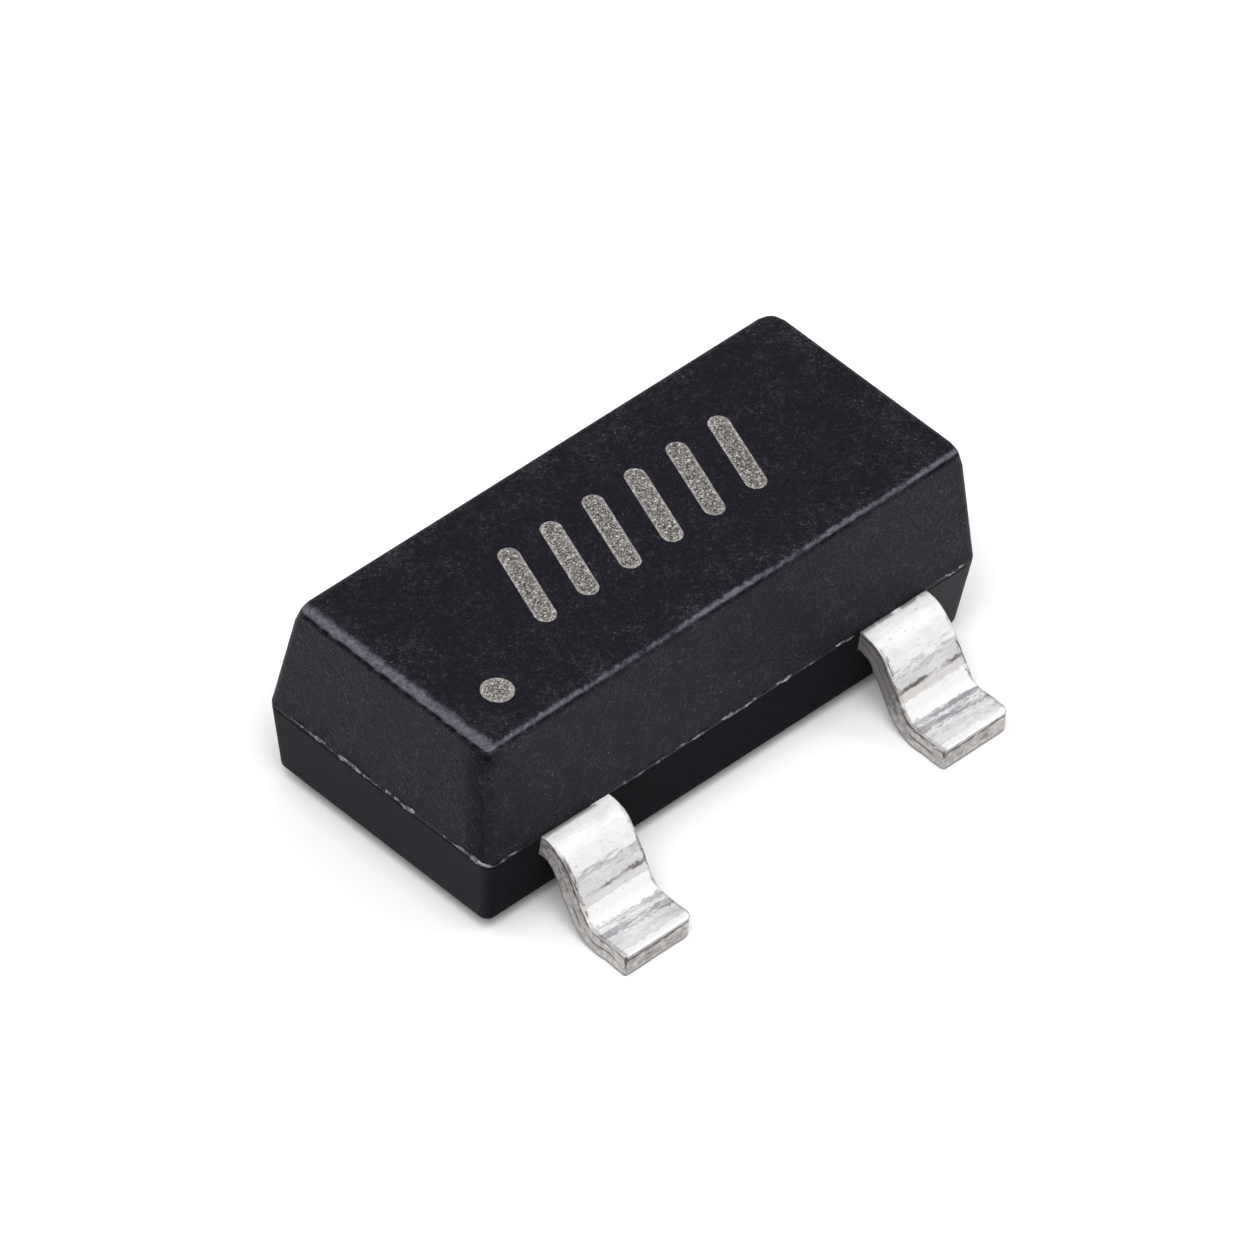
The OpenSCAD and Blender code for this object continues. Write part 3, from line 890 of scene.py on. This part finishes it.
def rub_and_chip(edge, upper, lower, soft, chip_and_shade_reach):
    """Along an edge, by the distance on to the top from it: the rubbed band, and the chips below it."""
    rubbed = soft_step(edge, upper + 0.6 * soft, upper - soft)
    rubbed *= soft_step(edge, lower - 0.6 * soft, lower + 1.2 * soft)
    below = soft_step(edge, lower + 0.002, lower - 0.002)
    return rubbed, below * soft_step(edge, lower - chip_and_shade_reach, lower - chip_and_shade_reach + 0.004)


def moulding():
    """The body's skin, rubbed and chipped along its top edges and ragged at the parting line."""
    rings = np.array([body_ring(*level) for level in body_levels()])
    rings = np.concatenate([body_cap(rings[0], 8)[::-1], rings, body_cap(rings[-1], 14)])
    points, quads = loft(rings)
    way = np.tile(body_ways(), (len(rings), 1))
    long_lumps, short_lumps = noise_at(points, 0.13, 0.4), noise_at(points, 0.035, 0.9)
    grit, patches = noise_at(points, 0.014, 1.7), noise_at(points, 0.30, 2.3)

    top_size = face_size(body_top, TOP_DRAFT)
    on_top = soft_step(points[:, 2], body_top - 0.6 * RIM, body_top - 0.1 * RIM)
    faces = np.clip(-way, 0, 1) ** 2
    left, near = (on_top[:, None] * (points[:, :2] < 0) + (1 - on_top[:, None]) * faces).T
    inset = np.clip(top_size - np.abs(points[:, :2]), 0, None)
    depth = body_top - points[:, 2]

    left_rub, left_chip = rub_and_chip(
        inset[:, 0] - depth, 0.068 + 0.007 * long_lumps + 0.008 * short_lumps + 0.006 * grit,
        0.006 + 0.006 * long_lumps + 0.008 * short_lumps, 0.018,
        0.012 + 0.026 * np.clip(short_lumps + 0.3, 0, 1) + 0.006 * grit,
    )
    near_rub, near_chip = rub_and_chip(
        inset[:, 1] - depth, 0.036 + 0.007 * patches + 0.008 * short_lumps + 0.008 * grit,
        0.007 + 0.004 * patches + 0.006 * short_lumps, 0.009, 0.012 + 0.006 * grit,
    )
    near_wear = np.clip(0.82 + 0.5 * patches + 0.6 * short_lumps + 0.6 * grit, 0.15, 1.4)
    rubbed = np.maximum(left_rub * left * (1 + 0.25 * grit), near_rub * near * near_wear)
    left_chip *= left * soft_step(short_lumps + 0.6 * long_lumps, -0.25, 0.0)
    near_chip *= near * soft_step(short_lumps + patches, -0.1, 0.2)
    notch = soft_step(4 * faces[:, 0] * faces[:, 1], 0.15, 0.6) * np.exp(-((depth - 0.048) / 0.020) ** 2)
    chip_and_shade = np.maximum.reduce([left_chip, near_chip, notch])
    sink = RUB_DEPTH * rubbed * (1 + 0.6 * grit) + CHIP_DEPTH * chip_and_shade * (1 + 0.4 * grit)
    sink += LEFT_RUB_DEPTH * left_rub * left * on_top
    points[:, 2] -= sink * on_top
    points[:, :2] -= way * (sink * (1 - on_top))[:, None]

    at_land = np.exp(-((points[:, 2] - PARTING - 0.006) / 0.012) ** 2)
    points[:, :2] += way * (at_land * LAND_SWELL * (0.4 + short_lumps + 0.6 * grit))[:, None]
    # Painted shadow: a dark broken line just under the flash.
    flash_shadow = np.exp(-((points[:, 2] - PARTING + 0.013) / (0.008 + 0.005 * left)) ** 2)
    chip_and_shade = np.maximum(chip_and_shade, flash_shadow * soft_step(patches + short_lumps + 0.8 * left + 0.3 * near, -0.2, 0.3))
    # A dark broken line where the upper flash rib runs, added to the same near-black mask.
    dark_over_parting = np.exp(-((points[:, 2] - PARTING - 0.011) / 0.007) ** 2)
    chip_and_shade = np.maximum(chip_and_shade, dark_over_parting * soft_step(-short_lumps - 0.6 * grit, 0.02, 0.30))
    # Painted shade with a matt finish: walls below the parting line are darker and rougher, long walls most.
    matt_and_shade = END_MATT_AND_SHADE * way[:, 0] ** 2
    # Less of that painted shade on the near wall past the right-hand lead, where light reaches it.
    lit_right_of_lead = np.where(way[:, 1] < 0, soft_step(points[:, 0], LEAD_PITCH + 0.10, LEAD_PITCH + 0.26), 0)
    matt_and_shade += way[:, 1] ** 2 * (1 - 0.75 * lit_right_of_lead)
    matt_and_shade *= soft_step(points[:, 2], PARTING + 0.001, PARTING - 0.006)
    # The bottom rim is painted darker as shade, and matt.
    under = soft_step(points[:, 2], body_bottom + 0.9 * LOW_RIM, body_bottom + 0.1 * LOW_RIM)
    matt_and_shade += under * (UNDER_MATT_AND_SHADE - matt_and_shade)
    # Painted shade with a matt finish on the left end's upper wall, close to the front corner.
    from_near = points[:, 1] + half_width - (points[:, 2] - PARTING) * math.tan(TOP_DRAFT[1])
    corner_dull_and_shade = soft_step(faces[:, 0], 0.4, 1.0) * soft_step(from_near, CORNER_SHADE_REACH, CORNER)
    corner_dull_and_shade *= (1 - on_top) * soft_step(points[:, 2], PARTING, PARTING + 0.02)
    matt_and_shade = np.maximum(matt_and_shade, CORNER_DULL_AND_SHADE * corner_dull_and_shade)
    dust = np.clip(1 - inset.min(axis=1) / DUST_REACH, 0, 1) * on_top
    ease_corners(points, top_size)
    fields = {"rubbed": rubbed, "chip_and_shade": chip_and_shade, "dust": dust, "matt_and_shade": matt_and_shade}
    return mesh_piece("moulded_body_skin", points, quads, fields)


RESIN_BLACK = (0.0036, 0.0031, 0.0082, 1)
RESIN_GREY = (0.0058, 0.0053, 0.0110, 1)
# The colour of the painted shade on the lower walls, the bottom rim and by the front corner.
RESIN_PAINTED_SHADE = (0.0034, 0.0024, 0.0042, 1)
RESIN_HAIR = (0.066, 0.064, 0.079, 1)
RESIN_SPECK = (0.15, 0.148, 0.155, 1)
RESIN_GLINT = (0.40, 0.40, 0.41, 1)
RESIN_RUBBED = (0.175, 0.171, 0.212, 1)
RESIN_RUBBED_DARK = (0.100, 0.098, 0.124, 1)
# Near black painted into chips and under the flash as shade.
RESIN_CHIP_SHADE = (0.0015, 0.0015, 0.0017, 1)
RESIN_GRAIN = 0.018


def resin_finish(tree):
    """Black moulding resin: hair-fine curly grain, stray filler specks, rubbed edges, painted shade in chips
    and on lower walls.
    """
    place = object_mm(tree)
    skin = mottled(tree, place, 26.0, 60.0, curl=1.6)
    patch = mottled(tree, place, 6.0, 34.0)
    matt_and_shade, dust = field(tree, "matt_and_shade")["Fac"], field(tree, "dust")["Fac"]
    upper = fade(tree, split(tree, place)["Z"], PARTING - 0.01, PARTING + 0.02)
    colour = mix(tree, skin["Tone"], RESIN_BLACK, RESIN_GREY)
    # Painted shade: the lower walls, the bottom rim and the left end wall by the front corner go darker.
    colour = mix(tree, matt_and_shade, colour, RESIN_PAINTED_SHADE)

    threads = {"Vector": place, "Scale": 38.0, "Detail": 1.0, "Distortion": 0.9}
    thread = add(tree, "ShaderNodeTexNoise", threads).outputs[0]
    curls = stripe(tree, thread, 0.5, 0.006, 0.028)
    hair = times(tree, curls, fade(tree, patch["Height"], 0.34, 0.66), upper)
    colour = mix(tree, times(tree, hair, 0.75), colour, RESIN_HAIR)
    haze = times(tree, dust, fade(tree, patch["Height"], 0.50, 0.64), 0.35)
    colour = mix(tree, haze, colour, RESIN_HAIR)
    grains = add(tree, "ShaderNodeTexNoise", {"Vector": place, "Scale": 110.0, "Detail": 0.0}).outputs[0]
    worn, chip_and_shade = field(tree, "rubbed")["Fac"], field(tree, "chip_and_shade")["Fac"]
    limit = scaled(tree, worn, 0.07, scaled(tree, dust, -0.080, 0.795))
    speck = fade(tree, calc(tree, "SUBTRACT", grains, limit), 0.0, 0.04)
    rubbed = mix(tree, skin["Tone"], RESIN_RUBBED, RESIN_RUBBED_DARK)
    colour = mix(tree, worn, colour, rubbed)
    speckled = times(tree, speck, most(tree, patch["Tone"], worn))
    speck_tone = mix(tree, worn, RESIN_SPECK, RESIN_GLINT)
    colour = mix(tree, times(tree, speckled, upper), colour, speck_tone)
    # Painted shade: chips, the front corner notch and the line under the flash go near black.
    colour = mix(tree, times(tree, chip_and_shade, 0.95), colour, RESIN_CHIP_SHADE)
    dulled = most(tree, matt_and_shade, chip_and_shade)
    roughness = most(tree, scaled(tree, skin["Height"], 0.20, 0.40), dulled)
    relief = times(tree, skin["Height"], scaled(tree, upper, 0.66, 0.34))
    return colour, roughness, relief, RESIN_GRAIN


resin = finish_material(
    "moulding_resin", resin_finish, **{"Specular IOR Level": 0.174, "Specular Tint": (0.90, 0.86, 1.0, 1)},
)
body = moulding()
body.data.materials.append(resin)
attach(body, "root")
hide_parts("moulded_body")

# Parting flash. Resin that crept into the joint of the tool and broke off in ragged ribs along the
# parting line, stoutest at the left end; none lies where the leads fill the joint.
FLASH_STEP = 0.006
FLASH_REACH = 0.0040
FLASH_GAPS = 0.50
FLASH_STOUT = 1.45
FLASH_JITTER = 0.011
FLASH_HEIGHTS = (PARTING + 0.011, PARTING + 0.002)


def flash_tree():
    """Thin ragged ribs along a path: broken by gaps, tapered at their ends, stouter past one end."""
    numbers = ("Step", "Reach", "Gaps", "Stout End", "Stout Factor", "Jitter")
    tree, given = geometry_tree("parting_flash", numbers, Path="Geometry", Finish="Material")
    place = add(tree, "GeometryNodeInputPosition").outputs[0]
    at_end = calc(tree, "LESS_THAN", split(tree, place)["X"], given["Stout End"])
    curve = add(tree, "GeometryNodeMeshToCurve", {"Mesh": given["Path"]})
    even = add(
        tree, "GeometryNodeResampleCurve",
        {"Curve": curve.outputs[0], "Length": given["Step"]}, mode="LENGTH",
    )
    line = add(tree, "GeometryNodeCurveToMesh", {"Curve": even.outputs[0]})
    apart = stretched(tree, place, (1.0, 1.0, 8.0))
    breaks = add(tree, "ShaderNodeTexNoise", {"Vector": apart, "Scale": 9 / MM, "Detail": 2.0})
    limit = scaled(tree, at_end, -0.02, given["Gaps"])
    gap = calc(tree, "LESS_THAN", breaks.outputs[0], limit)
    broken = add(
        tree, "GeometryNodeDeleteGeometry", {"Geometry": line.outputs[0], "Selection": gap}, domain="EDGE",
    )
    pieces = add(tree, "GeometryNodeMeshToCurve", {"Mesh": broken.outputs[0]})

    shake = add(tree, "ShaderNodeTexNoise", {"Vector": place, "Scale": 34 / MM, "Detail": 2.0})
    centred = add(
        tree, "ShaderNodeVectorMath", {0: shake.outputs[1], 1: (0.5, 0.5, 0.5)}, operation="SUBTRACT",
    )
    throw = add(
        tree, "ShaderNodeVectorMath", {0: centred.outputs[0], "Scale": given["Jitter"]}, operation="SCALE",
    )
    shaken = {"Geometry": pieces.outputs[0], "Offset": throw.outputs[0]}
    ragged = add(tree, "GeometryNodeSetPosition", shaken)
    share = add(tree, "GeometryNodeSplineParameter").outputs["Factor"]
    to_tip = calc(tree, "MINIMUM", share, calc(tree, "SUBTRACT", 1.0, share))
    taper = scaled(tree, fade(tree, to_tip, 0.0, 0.3), 0.85, 0.15)
    girth = add(tree, "ShaderNodeTexNoise", {"Vector": apart, "Scale": 24 / MM, "Detail": 2.0})
    lumpy = scaled(tree, fade(tree, girth.outputs[0], 0.36, 0.66), 1.75, 0.18)
    stout = scaled(tree, at_end, calc(tree, "SUBTRACT", given["Stout Factor"], 1.0), 1.0)
    size = times(tree, given["Reach"], taper, lumpy, stout)
    ring = add(tree, "GeometryNodeCurvePrimitiveCircle", {"Resolution": 6, "Radius": 1.0})
    ribs = add(tree, "GeometryNodeCurveToMesh", {
        "Curve": ragged.outputs[0], "Profile Curve": ring.outputs[0], "Scale": size, "Fill Caps": True,
    })
    finish_tree(tree, ribs.outputs[0], given["Finish"])
    return tree


def parting_path():
    """The parting line's two edges as rings, open where the three leads leave the body."""
    ring = body_outline(half_length, half_width, CORNER)
    count = len(ring)
    centres = [(-LEAD_PITCH, -1), (LEAD_PITCH, -1), (0, 1)]
    clear = np.ones(count, bool)
    for x, side in centres:
        beside = np.abs(ring[:, 0] - x) < LEAD_WIDTH / 2 + 0.02
        clear &= ~(beside & (np.sign(ring[:, 1]) == side))
    links = [(k, (k + 1) % count) for k in range(count) if clear[k] and clear[(k + 1) % count]]
    points, edges = [], []
    for z in FLASH_HEIGHTS:
        edges += [(a + len(points), b + len(points)) for a, b in links]
        points += [(x * MM, y * MM, z * MM) for x, y in ring]
    mesh = bpy.data.meshes.new("parting_flash")
    mesh.from_pydata(points, edges, [])
    return new_object("parting_flash", mesh)


# Pale colour of the painted glints on the flash.
FLASH_PAINTED_GLINT = (0.36, 0.355, 0.375, 1)
FLASH_DULL = (0.020, 0.019, 0.022, 1)
FLASH_GRAIN = 0.002


def flash_finish(tree):
    """Thin broken resin, with pale patches that are a painted highlight: glints on the ribs."""
    torn = mottled(tree, object_mm(tree), 26.0, 90.0)
    # Painted highlight: the pale patches of this mottle stand for glints on the ribs.
    colour = mix(tree, torn["Tone"], FLASH_PAINTED_GLINT, FLASH_DULL)
    roughness = scaled(tree, torn["Height"], 0.3, 0.25)
    return colour, roughness, torn["Height"], FLASH_GRAIN


flash = parting_path()
run_tree(
    flash, flash_tree(), Step=FLASH_STEP * MM, Reach=FLASH_REACH * MM, Gaps=FLASH_GAPS,
    Stout_End=(CORNER / 2 - half_length) * MM, Stout_Factor=FLASH_STOUT, Jitter=FLASH_JITTER * MM,
    Finish=finish_material("torn_flash", flash_finish),
)
flash.data.shade_smooth()
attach(flash, "root")

# Laser mark. A beam burns the resin's skin to a pale, grainy layer a few microns thick: here a dot
# over the base lead's corner and a plain row of slanted bars.
MARK_RAISE = 0.0012
MARK_SINK = 0.003
MARK_GRIT = 0.0012
MARK_RUN = 0.008
BAR_WIDTH = 0.10
BAR_LENGTH = 0.48
BAR_PITCH = 0.25
BAR_COUNT = 6
BAR_LEAN = math.radians(20)
BAR_START = (-0.58, 0.04)
DOT_PLACE = (-1.12, -0.34)
DOT_WIDTH = 0.15
MARK_STEPS = 9
MARK_ROUND = 14


def mark_shape(name, length, width, lean, centre):
    """A round-ended stroke with a brighter rim, lying on the body's top."""
    radius, straight = width / 2, max(length - width, 0) / 2
    turn = np.linspace(0, math.pi, MARK_ROUND + 1)
    runs = np.linspace(-straight, straight, max(round(2 * straight / MARK_RUN), 1) + 1)[1:-1]
    right = np.stack([straight + radius * np.sin(turn), -radius * np.cos(turn)], axis=1)
    top_run = np.stack([runs[::-1], np.full(len(runs), radius)], axis=1)
    outline = np.concatenate([right, top_run, -right, -top_run])
    ring = np.column_stack([outline, np.zeros(len(outline))])
    spine = ring.copy()
    spine[:, 0] = np.clip(ring[:, 0], -straight, straight)
    spine[:, 1] = 0
    high, low = ring + [0, 0, MARK_RAISE], ring - [0, 0, MARK_SINK]
    rings = np.concatenate([
        cap_rings(low, spine - [0, 0, MARK_SINK], 1), low[None], high[None],
        cap_rings(high, spine + [0, 0, MARK_RAISE], MARK_STEPS),
    ])
    points, quads = loft(rings)
    share = np.concatenate([[0, 0, 0], np.linspace(0, 1, MARK_STEPS + 1)[1:]])
    rim = np.repeat(1 - soft_step(share, 0.08, 0.36), len(ring))
    lifted = np.repeat(np.arange(len(rings)) > 2, len(ring))
    turned = points.copy()
    turned[:, 0] = centre[0] + points[:, 0] * math.sin(lean) + points[:, 1] * math.cos(lean)
    turned[:, 1] = centre[1] + points[:, 0] * math.cos(lean) - points[:, 1] * math.sin(lean)
    turned[:, 2] += body_top + lifted * MARK_GRIT * noise_at(turned, 0.017, 0.6)
    return mesh_piece(name, turned, quads, {"rim": rim})


def row_tree():
    """Repeats a shape in a straight row."""
    tree, given = geometry_tree("mark_row", ["Pitch"], Shape="Geometry", Count="Int", Finish="Material")
    step = add(tree, "ShaderNodeCombineXYZ", {"X": given["Pitch"]})
    line = add(tree, "GeometryNodeMeshLine", {"Count": given["Count"], "Offset": step.outputs[0]})
    row = add(tree, "GeometryNodeInstanceOnPoints", {"Points": line.outputs[0], "Instance": given["Shape"]})
    finish_tree(tree, row.outputs[0], given["Finish"])
    return tree


BURN_CRUST = (0.185, 0.171, 0.162, 1)
BURN_RIM = (0.33, 0.308, 0.298, 1)
BURN_BRIGHT = (0.72, 0.675, 0.645, 1)
BURN_PORE = (0.014, 0.013, 0.013, 1)
BURN_GRAIN = 0.006


def burn_finish(tree):
    """Burnt resin: grey crust with dark pores and bright grains, palest where the beam turned."""
    crust = mottled(tree, object_mm(tree), 62.0, 125.0, curl=0.9)
    rim = field(tree, "rim")["Fac"]
    colour = mix(tree, rim, BURN_CRUST, BURN_RIM)
    pore = times(tree, fade(tree, crust["Height"], 0.50, 0.42), scaled(tree, rim, -0.5, 0.95))
    colour = mix(tree, pore, colour, BURN_PORE)
    colour = mix(tree, fade(tree, crust["Height"], 0.53, 0.60), colour, BURN_BRIGHT)
    roughness = scaled(tree, crust["Tone"], 0.2, 0.5)
    return colour, roughness, crust["Height"], BURN_GRAIN


burn = finish_material("laser_burn", burn_finish)
bars = mark_shape("laser_bars", BAR_LENGTH, BAR_WIDTH, BAR_LEAN, BAR_START)
run_tree(bars, row_tree(), Count=BAR_COUNT, Pitch=BAR_PITCH * MM, Finish=burn)
dot = mark_shape("laser_dot", DOT_WIDTH, DOT_WIDTH, 0.0, DOT_PLACE)
dot.data.materials.append(burn)
for mark in (bars, dot):
    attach(mark, "root")
